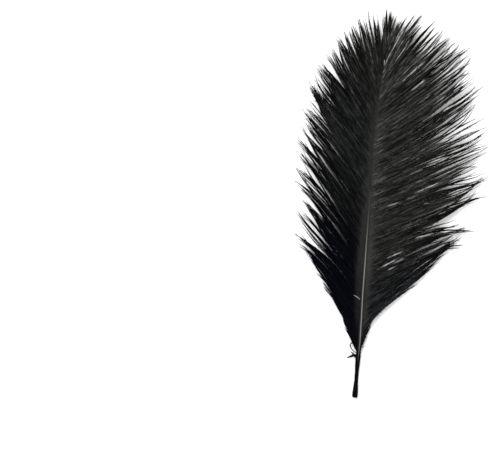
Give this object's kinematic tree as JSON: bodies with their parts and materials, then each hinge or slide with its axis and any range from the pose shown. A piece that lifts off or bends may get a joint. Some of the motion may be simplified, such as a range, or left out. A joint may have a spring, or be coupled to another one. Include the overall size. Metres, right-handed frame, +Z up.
{
  "type": "ostrich feather",
  "caption": "Dyed black ostrich plume lying face up, with a bare quill, a pale shaft line and soft, loose vanes that part into fine strands at the edge.",
  "frame": {"origin": "middle of the feather's box, at the level of the surface that it lies on", "axes": "+Y along the feather from the quill's cut end to the tip, +Z up from the surface out of the face, +X across the vanes"},
  "size_m": [0.1434, 0.2798, 0.0105],
  "materials": {
    "dyed_barbs": "soft matte fibre, faint sheen",
    "dyed_quill": "horn-like, dyed black, satin, pale where the shaft's back shows"
  },
  "bodies": {
    "root": {"feather": "dyed_barbs"}
  },
  "joints": []
}
